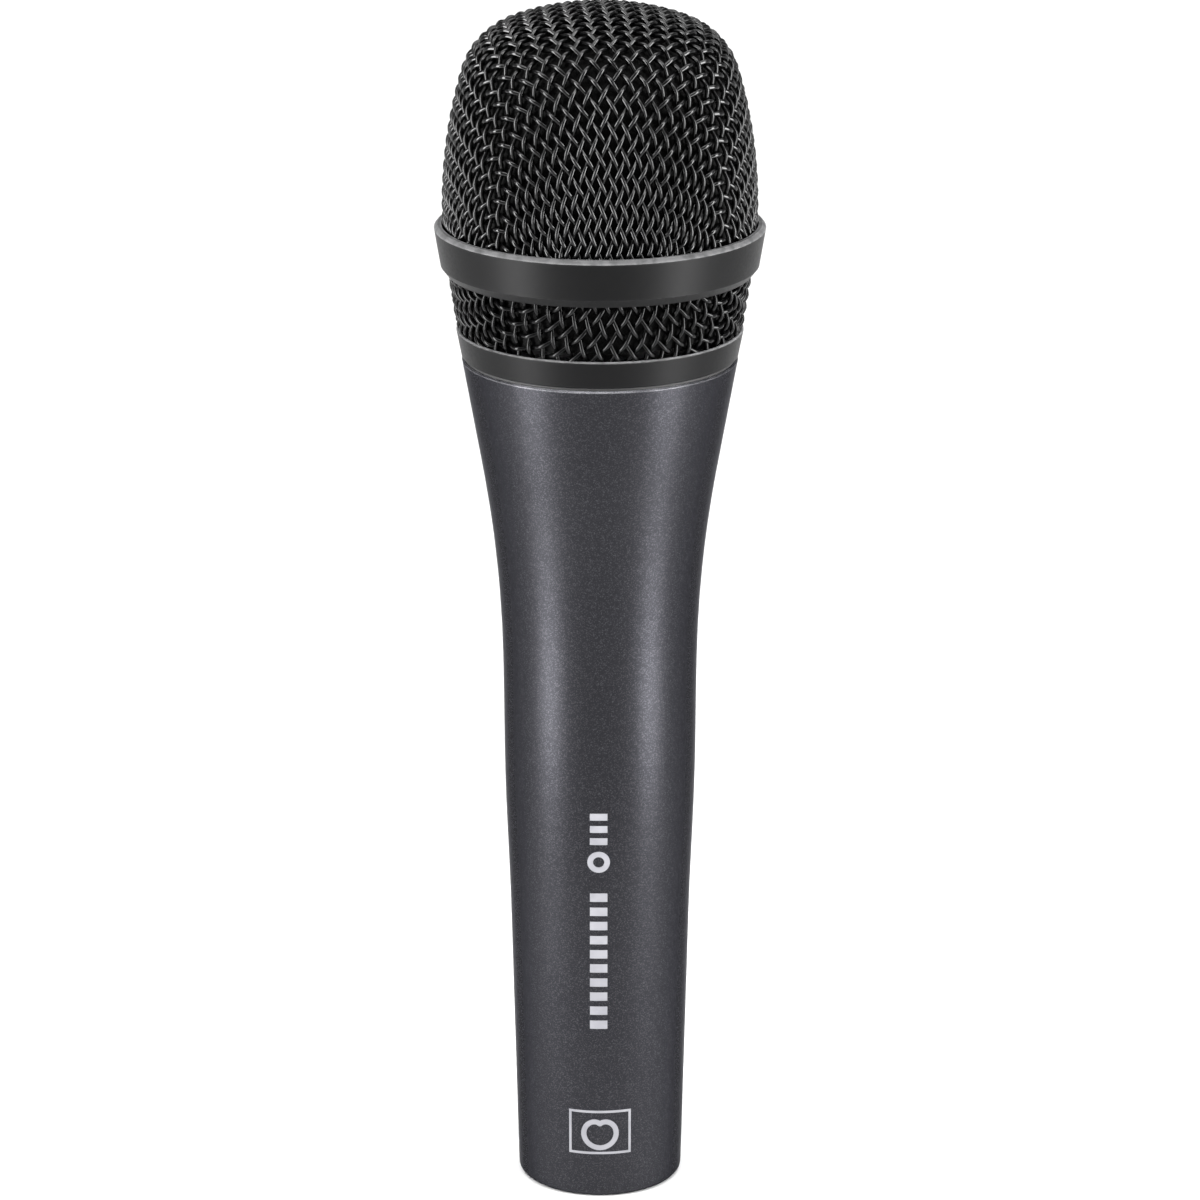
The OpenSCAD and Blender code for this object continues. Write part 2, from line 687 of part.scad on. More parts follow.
// Bobbin round the core's middle leg: thin tube with a flange at each end
module transformer_bobbin() {
    tube = [core_mid_leg + 2 * bobbin_wall, core[1] + 2 * bobbin_wall];
    flange = [tube[0] + 2 * winding_t + 0.4, 2 * winding_y + 0.6];
    color(plastic_black) translate([0, 0, core_z + core[2] / 2]) difference() {
        union() {
            for (s = [-1, 1]) translate([0, 0, s * (bobbin_h - bobbin_flange_t) / 2])
                cube([flange[0], flange[1], bobbin_flange_t], center = true);
            cube([tube[0], tube[1], bobbin_h], center = true);
        }
        cube([core_mid_leg + 2 * glue_gap, core[1] + 2 * glue_gap, bobbin_h + 2], center = true);
    }
}

// Copper winding on the bobbin
module transformer_winding() {
    hole = [core_mid_leg + 2 * (bobbin_wall + glue_gap), core[1] + 2 * (bobbin_wall + glue_gap)];
    color(copper) translate([0, 0, core_z + core[2] / 2]) difference() {
        cube([hole[0] + 2 * winding_t - 0.1, 2 * winding_y,
            bobbin_h - 2 * (bobbin_flange_t + glue_gap)], center = true);
        cube([hole[0], hole[1], bobbin_h], center = true);
    }
}

// Way-points of a lead from a capsule tag down to the transformer on side s
function capsule_way(s) =
    let (top = tag_bottom + 0.1, low = core_z + core[2] + 0.3, d = top - low)
    [[s * (tag_x + 0.7), 0, top], [s * (tag_x + 1.2), 0.4, top - 0.16 * d], [s * 4.2, 2.4, top - 0.38 * d],
     [s * 2.8, -1.2, top - 0.62 * d], [s * 3.6, -2.2, low + 0.14 * d], [s * 3.4, -2, low]];

// Way-points of a lead from the bobbin's lower flange down into a pin's solder cup
function pin_way(p, side) = let (top = bobbin_bottom - 0.08, low = cup_floor + glue_gap, d = top - low)
    [[side[0], side[1], top], [side[0] * 1.02, side[1] * 1.02, top - 0.12 * d],
     [side[0] * 0.7 - 1.6, side[1] * 0.7, top - 0.4 * d],
     [(side[0] + p[0]) / 2 + 1.4, (side[1] + p[1]) / 2, low + 0.3 * d],
     [p[0], p[1], low + 0.18 * d], [p[0], p[1], low + 0.09 * d], [p[0], p[1], low]];

lead_r = 0.55;

// Lead from the left capsule tag to the transformer
module capsule_lead_a() {
    color([0.7, 0.1, 0.08]) lead(capsule_way(-1), lead_r);
}

// Lead from the right capsule tag to the transformer
module capsule_lead_b() {
    color([0.1, 0.2, 0.6]) lead(capsule_way(1), lead_r);
}

// Places of the three pins, seen from above: 1 on the left, 2 on the right, 3 in front
pin_xy = [[-pin_pitch_r, 0], [pin_pitch_r, 0], [0, -pin_pitch_r]];

// Lead to pin 2
module pin_lead_2() {
    color([0.75, 0.62, 0.1]) lead(pin_way(pin_xy[1], [1.6, winding_y - 0.2]), lead_r);
}

// Lead to pin 3
module pin_lead_3() {
    color([0.12, 0.12, 0.12]) lead(pin_way(pin_xy[2], [0.8, 0.2 - winding_y]), lead_r);
}

// Lead to pin 1
module pin_lead_1() {
    color([0.1, 0.4, 0.15]) lead(pin_way(pin_xy[0], [-1.6, winding_y - 0.2]), lead_r);
}

// Metal insert that forms the socket: plug bore with a keyway, seat for the insulator above
module xlr_shell() {
    color(nickel) difference() {
        turned([[socket_r + insert_edge, insert_recess], [insert_r - insert_edge, insert_recess],
            [insert_r, insert_recess + insert_edge], [insert_r, insert_top],
            [insulator_r + glue_gap, insert_top], [insulator_r + glue_gap, socket_depth],
            [socket_r, socket_depth], [socket_r, insert_recess + insert_edge]]);
        translate([-key_w / 2, 0, -1]) cube([key_w, socket_r + key_depth, key_len + 1]);
        translate([0, insulator_r - 1, screw_z]) rotate([-90, 0, 0])
            cylinder(r = screw_r + glue_gap, h = 3, $fn = 32);
    }
}

// Insulating disc that holds the three pins
module xlr_insulator() {
    color(plastic_black) difference() {
        translate([0, 0, socket_depth]) cylinder(r = insulator_r, h = insulator_h);
        for (p = pin_xy) translate([p[0], p[1], socket_depth - 1])
            cylinder(r = pin_d / 2 + pin_knurl + glue_gap, h = insulator_h + 2, $fn = 32);
        translate([0, insulator_r - 0.3, screw_z]) rotate([-90, 0, 0])
            cylinder(r = screw_r + 0.3, h = 3, $fn = 32);
    }
}

// Contact pin with a rounded tip, a shoulder on the insulator and a solder cup behind it
module contact_pin(p) {
    r = pin_d / 2;
    tip = socket_depth - pin_len;
    shoulder_z = insulator_top + pin_shoulder_h;
    color(gold) translate([p[0], p[1], 0]) rotate_extrude($fn = 48) polygon(concat(
        arc([r - pin_tip_round, tip + pin_tip_round], pin_tip_round, -90, 0, 6),
        [[r, socket_depth], [r + pin_knurl, socket_depth], [r + pin_knurl, insulator_top],
         [r + pin_shoulder, insulator_top], [r + pin_shoulder, shoulder_z],
         [cup_r, shoulder_z], [cup_r, shoulder_z + cup_h], [cup_bore_r, shoulder_z + cup_h],
         [cup_bore_r, cup_floor], [0, cup_floor], [0, tip]]));
}

module xlr_pin_1() {
    contact_pin(pin_xy[0]);
}

module xlr_pin_2() {
    contact_pin(pin_xy[1]);
}

module xlr_pin_3() {
    contact_pin(pin_xy[2]);
}

// Leaf spring from the shoulder of pin 1 to the metal shell
module ground_spring() {
    x_out = sqrt(pow(insulator_r + glue_gap, 2) - pow(spring_w / 2, 2)) - 0.01;
    x_in = pin_pitch_r + pin_d / 2 + pin_shoulder;
    color(nickel) translate([-x_out, -spring_w / 2, insulator_top]) union() {
        cube([x_out - x_in, spring_w, spring_t]);
        cube([spring_t, spring_w, spring_h]);
    }
}

// Slotted grub screw that locks the insert in the handle, at the back
module insert_screw() {
    y0 = insulator_r + 0.1;
    y1 = handle_r(screw_z) - 0.5;
    color(steel_grey) difference() {
        translate([0, y0, screw_z]) rotate([-90, 0, 0]) cylinder(r = screw_r, h = y1 - y0, $fn = 32);
        translate([0, y1, screw_z]) cube([4, 1.2, 0.45], center = true);
    }
}

handle_shell();
threaded_neck();
seal_washer();
collar_ring();
lower_mesh();
grille_ring();
dome_mesh();
foam_liner();
foam_sleeve();
front_cap();
front_cloth();
clamp_ring();
diaphragm_dome();
diaphragm_surround();
voice_coil();
pole_plate();
magnet();
yoke_cup();
capsule_frame();
acoustic_felt();
hum_coil();
rear_chamber();
terminal_board();
solder_tags();
shock_mount();
mount_clip();
tail_bumper();
transformer_cradle();
transformer_core();
transformer_bobbin();
transformer_winding();
capsule_lead_a();
capsule_lead_b();
pin_lead_2();
pin_lead_3();
pin_lead_1();
xlr_shell();
xlr_insulator();
xlr_pin_1();
xlr_pin_2();
xlr_pin_3();
ground_spring();
insert_screw();
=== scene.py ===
"""Looks of a dynamic vocal microphone with a drawn wire head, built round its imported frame.

The sections follow the microphone as it is put together, from the handle up. Lengths are in metres,
and a length written with MM is in millimetres.
"""

import json
import math

import bpy
import numpy as np
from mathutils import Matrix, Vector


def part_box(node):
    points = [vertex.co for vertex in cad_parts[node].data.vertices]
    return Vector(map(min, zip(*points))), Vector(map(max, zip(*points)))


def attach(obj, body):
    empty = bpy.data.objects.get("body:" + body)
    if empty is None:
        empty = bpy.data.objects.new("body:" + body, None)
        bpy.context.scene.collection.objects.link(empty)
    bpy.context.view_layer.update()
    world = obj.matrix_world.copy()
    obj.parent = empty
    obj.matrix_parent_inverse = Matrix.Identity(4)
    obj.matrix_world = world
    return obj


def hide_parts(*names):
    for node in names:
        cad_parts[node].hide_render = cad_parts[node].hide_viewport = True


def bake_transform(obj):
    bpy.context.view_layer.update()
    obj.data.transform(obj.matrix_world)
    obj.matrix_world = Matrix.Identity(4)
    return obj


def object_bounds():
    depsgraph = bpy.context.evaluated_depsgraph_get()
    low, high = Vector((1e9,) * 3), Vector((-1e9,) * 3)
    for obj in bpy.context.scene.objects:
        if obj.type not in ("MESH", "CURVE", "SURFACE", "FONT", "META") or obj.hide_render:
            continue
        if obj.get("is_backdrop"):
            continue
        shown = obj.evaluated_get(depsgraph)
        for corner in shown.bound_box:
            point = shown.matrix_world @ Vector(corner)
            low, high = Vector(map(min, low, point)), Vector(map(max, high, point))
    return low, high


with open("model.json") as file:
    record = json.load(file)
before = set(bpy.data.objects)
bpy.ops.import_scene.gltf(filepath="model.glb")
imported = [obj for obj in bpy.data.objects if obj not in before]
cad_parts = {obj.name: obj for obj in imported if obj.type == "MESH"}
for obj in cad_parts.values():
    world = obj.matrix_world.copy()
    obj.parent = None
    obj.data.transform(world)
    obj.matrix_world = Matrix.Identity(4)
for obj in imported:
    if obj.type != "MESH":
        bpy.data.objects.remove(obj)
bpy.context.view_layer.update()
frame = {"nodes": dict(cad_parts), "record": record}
MM = 0.001


# Handle: a thin-walled metal casting, turned smooth and sprayed with a metallic anthracite lacquer.
# The lacquer dries to a fine orange peel with a sparkle of flake, and its edges are painted lighter: partly
# rubbed by hands, partly a painted highlight.
def finish(name, tint, deep, rough, swing, patch, grain, depth, wear_and_sheen=None, edge=0.3 * MM, painted_top_highlight=False,
           ribs=None, flake=None, **sockets):
    """A surface finish on object coordinates.

    The colour runs from deep to tint on a slow noise with patch features a metre. The roughness runs
    swing either side of rough on a fine noise with grain features a metre, and the same noise raises
    a bump of the given depth. wear_and_sheen is the colour on edges, where the normal rounded over the
    length edge leans away from the face's own: rubbed wear, and a painted highlight along the edges.
    painted_top_highlight keeps it off edges that look down and paints up to half of it on faces that
    look up, a painted highlight from light above. ribs is (axis, spacing, depth) of a regular winding
    or lamination. flake is (colour, grains a metre, share of grains that shine).
    """
    made = bpy.data.materials.new(name)
    made.use_nodes = True
    nodes, link = made.node_tree.nodes, made.node_tree.links.new
    shader = nodes["Principled BSDF"]
    place = nodes.new("ShaderNodeTexCoord").outputs["Object"]

    def noise(features, detail):
        texture = nodes.new("ShaderNodeTexNoise")
        texture.inputs["Scale"].default_value = features
        texture.inputs["Detail"].default_value = detail
        link(place, texture.inputs["Vector"])
        return texture.outputs["Fac"]

    def ramp(value, low, high, to_low=0.0, to_high=1.0):
        node = nodes.new("ShaderNodeMapRange")
        for socket, number in zip(node.inputs[1:5], (low, high, to_low, to_high)):
            socket.default_value = number
        link(value, node.inputs["Value"])
        return node.outputs["Result"]

    def mixed(share, first, second):
        node = nodes.new("ShaderNodeMix")
        node.data_type = "RGBA"
        link(share, node.inputs[0])
        for socket, colour in ((node.inputs[6], first), (node.inputs[7], second)):
            if isinstance(colour, tuple):
                socket.default_value = (*colour, 1)
            else:
                link(colour, socket)
        return node.outputs[2]

    def joined(first, second, operation="MULTIPLY"):
        node = nodes.new("ShaderNodeMath")
        node.operation = operation
        link(first, node.inputs[0])
        link(second, node.inputs[1])
        return node.outputs[0]

    fine = noise(grain, 3)
    colour = mixed(ramp(noise(patch, 4), 0.3, 0.7), deep, tint)
    if flake:
        grains = nodes.new("ShaderNodeTexVoronoi")
        grains.inputs["Scale"].default_value = flake[1]
        link(place, grains.inputs["Vector"])
        parted = nodes.new("ShaderNodeSeparateColor")
        link(grains.outputs["Color"], parted.inputs[0])
        colour = mixed(ramp(parted.outputs[0], 1 - flake[2], 1), colour, flake[0])
    if wear_and_sheen:
        rounded = nodes.new("ShaderNodeBevel")
        rounded.inputs["Radius"].default_value = edge
        lean = nodes.new("ShaderNodeVectorMath")
        lean.operation = "DOT_PRODUCT"
        facing = nodes.new("ShaderNodeNewGeometry").outputs["Normal"]
        link(rounded.outputs[0], lean.inputs[0])
        link(facing, lean.inputs[1])
        wear_and_sheen_share = ramp(lean.outputs["Value"], 0.99, 0.90)
        # Painted highlight from light above: edges that look down lose the edge colour, and faces that look
        # up take up to half of it.
        if painted_top_highlight:
            upright = nodes.new("ShaderNodeSeparateXYZ")
            link(facing, upright.inputs[0])
            wear_and_sheen_share = joined(wear_and_sheen_share, ramp(upright.outputs["Z"], -0.2, 0.3))
            wear_and_sheen_share = joined(wear_and_sheen_share, ramp(upright.outputs["Z"], 0.3, 0.5, 0, 0.5), "MAXIMUM")
        colour = mixed(joined(wear_and_sheen_share, ramp(noise(patch * 9, 3), 0.35, 0.6, 0.55, 1)), colour, wear_and_sheen)
    link(colour, shader.inputs["Base Color"])
    link(ramp(fine, 0.25, 0.75, rough - swing, rough + swing), shader.inputs["Roughness"])
    bump = nodes.new("ShaderNodeBump")
    bump.inputs["Distance"].default_value = depth
    link(fine, bump.inputs["Height"])
    if ribs:
        axis, spacing, rib_depth = ribs
        wave = nodes.new("ShaderNodeTexWave")
        wave.bands_direction = axis
        wave.inputs["Scale"].default_value = 2 * math.pi / (20 * spacing)
        wave.inputs["Distortion"].default_value = 0.15
        link(place, wave.inputs["Vector"])
        ribbed = nodes.new("ShaderNodeBump")
        ribbed.inputs["Distance"].default_value = rib_depth
        link(wave.outputs["Fac"], ribbed.inputs["Height"])
        link(bump.outputs[0], ribbed.inputs["Normal"])
        bump = ribbed
    link(bump.outputs[0], shader.inputs["Normal"])
    for socket, value in sockets.items():
        shader.inputs[socket.replace("_", " ")].default_value = value
    return made


def dress(made, *names):
    """Puts the finish on every material slot of the named frame nodes."""
    for node_name in names:
        for held in frame["nodes"][node_name].material_slots:
            held.material = made


# The lacquer's light edge colour is partly rubbed wear and partly a painted highlight on the edges.
anthracite_lacquer = finish(
    "anthracite_lacquer", tint=(0.029, 0.029, 0.033), deep=(0.025, 0.025, 0.029), rough=0.35, swing=0.04,
    patch=45, grain=2600, depth=0.004 * MM, wear_and_sheen=(0.30, 0.30, 0.32), edge=0.35 * MM,
    flake=((0.062, 0.062, 0.069), 8500, 0.30), Metallic=0.85, Specular_Tint=(0.3, 0.3, 0.32, 1))
dress(anthracite_lacquer, "handle_shell")


# Printed marks: light grey ink pad-printed on the lacquer, a film about 0.02 mm thick.
# A framed heart-shaped pickup curve stands near the foot, and above it run plain bars and a ring.
INK_LIFT = 0.03 * MM
INK_SINK = 0.02 * MM
BAR_ACROSS = 2.6 * MM
BAR_HIGH = 1.35 * MM
BAR_LINE_LOW = 28.4 * MM
BAR_SPACING = 2.28 * MM
BAR_COUNT = 10
SHORT_LINE_LOW = 57.9 * MM
SHORT_COUNT = 3
MARK_X = -0.2 * MM
RING_Z = 54.6 * MM
RING_R = 1.25 * MM
RING_STROKE = 0.85 * MM
FRAME_Z = 10.7 * MM
FRAME_HALF = (4.55 * MM, 3.4 * MM)
FRAME_STROKE = 0.38 * MM
HEART_SIZE = 1.75 * MM
HEART_RISE = 1.2 * MM
HEART_STROKE = 0.8 * MM


def node_points(node):
    """The points of a frame node, one a row."""
    held = frame["nodes"][node].data.vertices
    points = np.empty(3 * len(held), np.float32)
    held.foreach_get("co", points)
    return points.reshape(-1, 3).astype(float)


def outer_profile(points, share):
    """Heights and outer radii of a turned wall: the largest radius at each height, kept only where it is
    at least the given share of the radius taken straight between the two ends."""
    levels, where = np.unique(np.round(points[:, 2], 6), return_inverse=True)
    radii = np.zeros(len(levels))
    np.maximum.at(radii, where, np.hypot(points[:, 0], points[:, 1]))
    outer = radii > share * np.interp(levels, levels[[0, -1]], radii[[0, -1]])
    return levels[outer], radii[outer]


handle_profile = outer_profile(node_points("handle_shell"), 0.9)


def new_piece(name, points, faces, body, slot, made):
    """Mesh piece from an array of points and a list of faces, smooth, riding on a body if it has one."""
    mesh = bpy.data.meshes.new(name)
    mesh.from_pydata(points, [], faces)
    mesh.update()
    mesh.polygons.foreach_set("use_smooth", np.ones(len(mesh.polygons), bool))
    piece = bpy.data.objects.new(name, mesh)
    bpy.context.scene.collection.objects.link(piece)
    mesh.materials.append(made)
    if body:
        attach(piece, body)
    return piece


def grid_faces(rows, columns, wrap_rows=False, wrap_columns=False):
    """Four-cornered faces of a grid of points numbered row by row, joined end to end where it wraps."""
    i = np.arange(rows if wrap_rows else rows - 1)[:, None]
    j = np.arange(columns if wrap_columns else columns - 1)[None, :]
    i2, j2 = (i + 1) % rows, (j + 1) % columns
    corners = [i * columns + j, i * columns + j2, i2 * columns + j2, i2 * columns + j]
    return np.stack([np.broadcast_to(c, (i.size, j.size)) for c in corners], -1).reshape(-1, 4)


def ink_stroke(centre_x, centre_z, out_x, out_z, closed):
    """A printed stroke as a closed film. Its two edges run half a width each side of a centreline, the
    film's rim has four corners, two under the lacquer's face and two above it, and x is wrapped round
    the handle as the angle x / radius."""
    side = np.array([-1, 1, 1, -1])[None, :]
    lift = np.array([-INK_SINK, -INK_SINK, INK_LIFT, INK_LIFT])[None, :]
    x = centre_x[:, None] + side * out_x[:, None]
    z = centre_z[:, None] + side * out_z[:, None]
    radius = np.interp(z, *handle_profile)
    angle = x / radius
    radius = radius + lift
    points = np.stack([radius * np.sin(angle), -radius * np.cos(angle), z], -1).reshape(-1, 3)
    faces = grid_faces(len(centre_x), 4, wrap_rows=closed, wrap_columns=True).tolist()
    if not closed:
        last = 4 * (len(centre_x) - 1)
        faces += [[3, 2, 1, 0], [last, last + 1, last + 2, last + 3]]
    return points, faces


def bar(x, z, across, high):
    """A plain bar, as a stroke whose centreline runs across in short steps, so that it follows the round."""
    t = np.linspace(-0.5, 0.5, 2 + int(across / (0.5 * MM)))
    return ink_stroke(x + t * across, 0 * t + z, 0 * t, 0 * t - high / 2, False)


def loop(x, z, stroke):
    """A closed line through the points x, z, its edges square to it."""
    dx, dz = np.roll(x, -1) - np.roll(x, 1), np.roll(z, -1) - np.roll(z, 1)
    length = np.hypot(dx, dz)
    return ink_stroke(x, z, dz / length * stroke / 2, -dx / length * stroke / 2, True)


turn = np.linspace(0, 2 * math.pi, 64, endpoint=False)
strokes = [bar(MARK_X, BAR_LINE_LOW + BAR_SPACING * k, BAR_ACROSS, BAR_HIGH) for k in range(BAR_COUNT)]
strokes += [bar(MARK_X, SHORT_LINE_LOW + BAR_SPACING * 0.85 * k, BAR_ACROSS, BAR_HIGH * 0.8)
            for k in range(SHORT_COUNT)]
strokes.append(loop(MARK_X + RING_R * np.cos(turn), RING_Z + RING_R * np.sin(turn), RING_STROKE))
heart = HEART_SIZE * (1.12 - np.sin(turn))
strokes.append(loop(heart * np.cos(turn), FRAME_Z + HEART_RISE + heart * np.sin(turn), HEART_STROKE))
for s in (-1, 1):
    strokes.append(bar(s * FRAME_HALF[0], FRAME_Z, FRAME_STROKE, 2 * FRAME_HALF[1] + FRAME_STROKE))
    strokes.append(bar(0, FRAME_Z + s * FRAME_HALF[1], 2 * FRAME_HALF[0] - FRAME_STROKE, FRAME_STROKE))

grey_ink = finish("grey_ink", tint=(0.26, 0.26, 0.28), deep=(0.21, 0.21, 0.23), rough=0.5, swing=0.08,
                  patch=400, grain=6000, depth=0.004 * MM)
starts = np.cumsum([0] + [len(points) for points, faces in strokes])
ink_points = np.concatenate([points for points, faces in strokes])
ink_faces = [[start + v for v in face]
             for start, (points, faces) in zip(starts.tolist(), strokes) for face in faces]
ink_marks = new_piece("ink_marks", ink_points, ink_faces, "handle", "print_ink", grey_ink)
ink_marks.data.polygons.foreach_set("use_smooth", np.zeros(len(ink_marks.data.polygons), bool))


# Socket: a nickel-plated turned insert with a glass-filled plastic insulator and three gold-plated
# turned pins, pushed into the handle's foot and held by one grub screw with a bent grounding spring.
nickel_plate = finish("nickel_plate", tint=(0.60, 0.58, 0.54), deep=(0.50, 0.48, 0.45), rough=0.24,
                      swing=0.07, patch=160, grain=3000, depth=0.002 * MM,
                      wear_and_sheen=(0.78, 0.76, 0.72), Metallic=1.0)
gold_plate = finish("gold_plate", tint=(0.80, 0.60, 0.26), deep=(0.72, 0.50, 0.20), rough=0.22, swing=0.06,
                    patch=300, grain=3500, depth=0.002 * MM, wear_and_sheen=(0.86, 0.74, 0.45), Metallic=1.0)
glass_filled_plastic = finish("glass_filled_plastic", tint=(0.030, 0.030, 0.032), deep=(0.020, 0.020, 0.021),
                              rough=0.52, swing=0.09, patch=250, grain=4200, depth=0.01 * MM,
                              wear_and_sheen=(0.07, 0.07, 0.072))
turned_steel = finish("turned_steel", tint=(0.46, 0.46, 0.47), deep=(0.36, 0.36, 0.37), rough=0.33,
                      swing=0.08, patch=200, grain=2500, depth=0.004 * MM,
                      wear_and_sheen=(0.62, 0.62, 0.62), Metallic=1.0)
dress(nickel_plate, "xlr_shell", "ground_spring", "solder_tags")
dress(gold_plate, "xlr_pin_1", "xlr_pin_2", "xlr_pin_3")
dress(glass_filled_plastic, "xlr_insulator", "transformer_cradle", "transformer_bobbin")
dress(turned_steel, "insert_screw", "mount_clip", "clamp_ring")


# Transformer and leads: stacked steel laminations round a bobbin of enamelled copper wire, in a
# plastic cradle on the handle's ledge, with five plastic-covered leads to the capsule and the pins.
lamination = finish("lamination", tint=(0.30, 0.30, 0.31), deep=(0.20, 0.19, 0.19), rough=0.42, swing=0.1,
                    patch=300, grain=2200, depth=0.01 * MM, ribs=("Y", 0.35 * MM, 0.05 * MM),
                    wear_and_sheen=(0.45, 0.45, 0.46), Metallic=0.9)
enamelled_copper = finish("enamelled_copper", tint=(0.62, 0.27, 0.12), deep=(0.44, 0.17, 0.07), rough=0.3,
                          swing=0.08, patch=500, grain=3000, depth=0.004 * MM,
                          ribs=("Z", 0.16 * MM, 0.05 * MM), Metallic=0.85)
dress(lamination, "transformer_core")
dress(enamelled_copper, "transformer_winding", "hum_coil", "voice_coil")
LEAD_TINTS = {
    "capsule_lead_a": (0.55, 0.045, 0.035), "capsule_lead_b": (0.045, 0.11, 0.42),
    "pin_lead_2": (0.62, 0.45, 0.05), "pin_lead_3": (0.035, 0.035, 0.037), "pin_lead_1": (0.04, 0.26, 0.09),
}


def giving(node, made):
    """A frame node for a part that gives when its joint moves, made a piece of its own: the same surface
    with doubled points merged, left where it stands and riding on no body."""
    mesh = frame["nodes"][node].data
    mesh.calc_loop_triangles()
    corners = np.empty(3 * len(mesh.loop_triangles), np.int32)
    mesh.loop_triangles.foreach_get("vertices", corners)
    points, where = np.unique(np.round(node_points(node), 7), axis=0, return_inverse=True)
    faces = where.reshape(-1)[corners].reshape(-1, 3)
    faces = faces[(faces != np.roll(faces, 1, 1)).all(1)]
    slot = next(part["material_slot"] for part in frame["record"]["subparts"] if part["node"] == node)
    piece = new_piece(node + "_skin", points, faces.tolist(), None, slot, made)
    piece.data.set_sharp_from_angle(angle=math.radians(35))
    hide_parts(node)
    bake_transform(piece)


for lead, tint in LEAD_TINTS.items():
    cover = finish(lead + "_cover", tint=tint, deep=tuple(0.8 * c for c in tint), rough=0.44, swing=0.07,
                   patch=250, grain=2600, depth=0.008 * MM)
    if lead.startswith("capsule"):
        giving(lead, cover)
    else:
        dress(cover, lead)


# Rubber mounts: a moulded cone that floats the capsule on the neck, a ring under its tail, and the
# flat washer below the collar, all in black rubber with the dull bloom it gets from the mould.
mould_rubber = finish("mould_rubber", tint=(0.026, 0.026, 0.027), deep=(0.017, 0.017, 0.017), rough=0.7,
                      swing=0.1, patch=180, grain=2600, depth=0.015 * MM, wear_and_sheen=(0.05, 0.05, 0.05))
dress(mould_rubber, "seal_washer")
giving("shock_mount", mould_rubber)
giving("tail_bumper", mould_rubber)


# Capsule: a moulded frame and rear chamber, a magnet between steel poles, and a film diaphragm
# clamped under a drilled cap, with a felt ring over its vents and open cloth behind the holes.
moulded_black = finish("moulded_black", tint=(0.034, 0.034, 0.036), deep=(0.024, 0.024, 0.025), rough=0.46,
                       swing=0.08, patch=160, grain=3000, depth=0.01 * MM, wear_and_sheen=(0.075, 0.075, 0.078))
plated_magnet = finish("plated_magnet", tint=(0.66, 0.65, 0.63), deep=(0.56, 0.55, 0.53), rough=0.2,
                       swing=0.05, patch=200, grain=2500, depth=0.002 * MM,
                       wear_and_sheen=(0.8, 0.79, 0.77), Metallic=1.0)
clear_film = finish("clear_film", tint=(0.62, 0.65, 0.68), deep=(0.54, 0.57, 0.60), rough=0.18, swing=0.05,
                    patch=300, grain=1500, depth=0.006 * MM)
board_laminate = finish("board_laminate", tint=(0.05, 0.20, 0.10), deep=(0.035, 0.15, 0.075), rough=0.36,
                        swing=0.07, patch=300, grain=1800, depth=0.01 * MM, wear_and_sheen=(0.30, 0.33, 0.22))
dress(moulded_black, "capsule_frame", "rear_chamber", "front_cap")
dress(turned_steel, "yoke_cup", "pole_plate")
dress(plated_magnet, "magnet")
dress(clear_film, "diaphragm_dome")
giving("diaphragm_surround", clear_film)
dress(board_laminate, "terminal_board")
FELT_INNER_R = 10.65 * MM
FELT_SPECKLE = 0.05 * MM
FELT_SEED = 3
CLOTH_THICK = 0.35 * MM
CLOTH_DROP = 0.05 * MM
CLOTH_RIPPLE = 0.04 * MM
CLOTH_RIPPLES = 14
CLOTH_AROUND, CLOTH_ACROSS = 96, 24


def turned_skin(outline, around, dent, seed):
    """Closed ring turned round the axis from a closed outline of [radius, height] rows, whose points are
    pressed in towards the outline's middle by up to dent, each by its own seeded random share."""
    angle = np.linspace(0, 2 * math.pi, around, endpoint=False)
    middle = outline.mean(0)
    inward = middle - outline
    inward /= np.linalg.norm(inward, axis=1)[:, None]
    share = np.random.default_rng(seed).random((around, len(outline)))
    r = outline[None, :, 0] + dent * share * inward[None, :, 0]
    z = outline[None, :, 1] + dent * share * inward[None, :, 1]
    points = np.stack([r * np.cos(angle)[:, None], r * np.sin(angle)[:, None], z], -1).reshape(-1, 3)
    return points, grid_faces(around, len(outline), wrap_rows=True, wrap_columns=True)[:, ::-1].tolist()


def fan(hub, rim):
    """Three-cornered faces from the hub point to every step of a closed rim of points."""
    return np.stack([np.full(len(rim), hub), np.roll(rim, -1), rim], -1).tolist()


def capped(grid, top_z, under_z):
    """Closed skin from rows of points that each run out over the top and back underneath, one row for
    every step round the axis, with a pole on the axis above and one below."""
    rows, columns = grid.shape[:2]
    hub, starts = rows * columns, columns * np.arange(rows)
    faces = grid_faces(rows, columns, wrap_rows=True).tolist()
    faces += fan(hub, starts) + fan(hub + 1, starts[::-1] + columns - 1)
    points = np.concatenate([grid.reshape(-1, 3), [[0, 0, top_z], [0, 0, under_z]]])
    return points, [face[::-1] for face in faces]


def soft_box(r_in, r_out, low, high, nose, count):
    """Outline of a ring's rectangular section with its corners eased: a superellipse of power 1/nose."""
    t = np.linspace(0, 2 * math.pi, count, endpoint=False)
    bend = lambda v: np.sign(v) * np.abs(v) ** nose
    return np.stack([(r_in + r_out) / 2 + (r_out - r_in) / 2 * bend(np.cos(t)),
                     (low + high) / 2 + (high - low) / 2 * bend(np.sin(t))], 1)


felt_wool = finish("felt_wool", tint=(0.26, 0.26, 0.25), deep=(0.18, 0.18, 0.175), rough=0.92, swing=0.06,
                   patch=900, grain=4500, depth=0.05 * MM, Specular_IOR_Level=0.15)
low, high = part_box("acoustic_felt")
section = soft_box(FELT_INNER_R, high[0], low[2], high[2], 0.45, 32)
felt_skin = turned_skin(section, 160, FELT_SPECKLE, FELT_SEED)
felt = new_piece("felt_ring", *felt_skin, "capsule", "felt", felt_wool)
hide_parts("acoustic_felt")

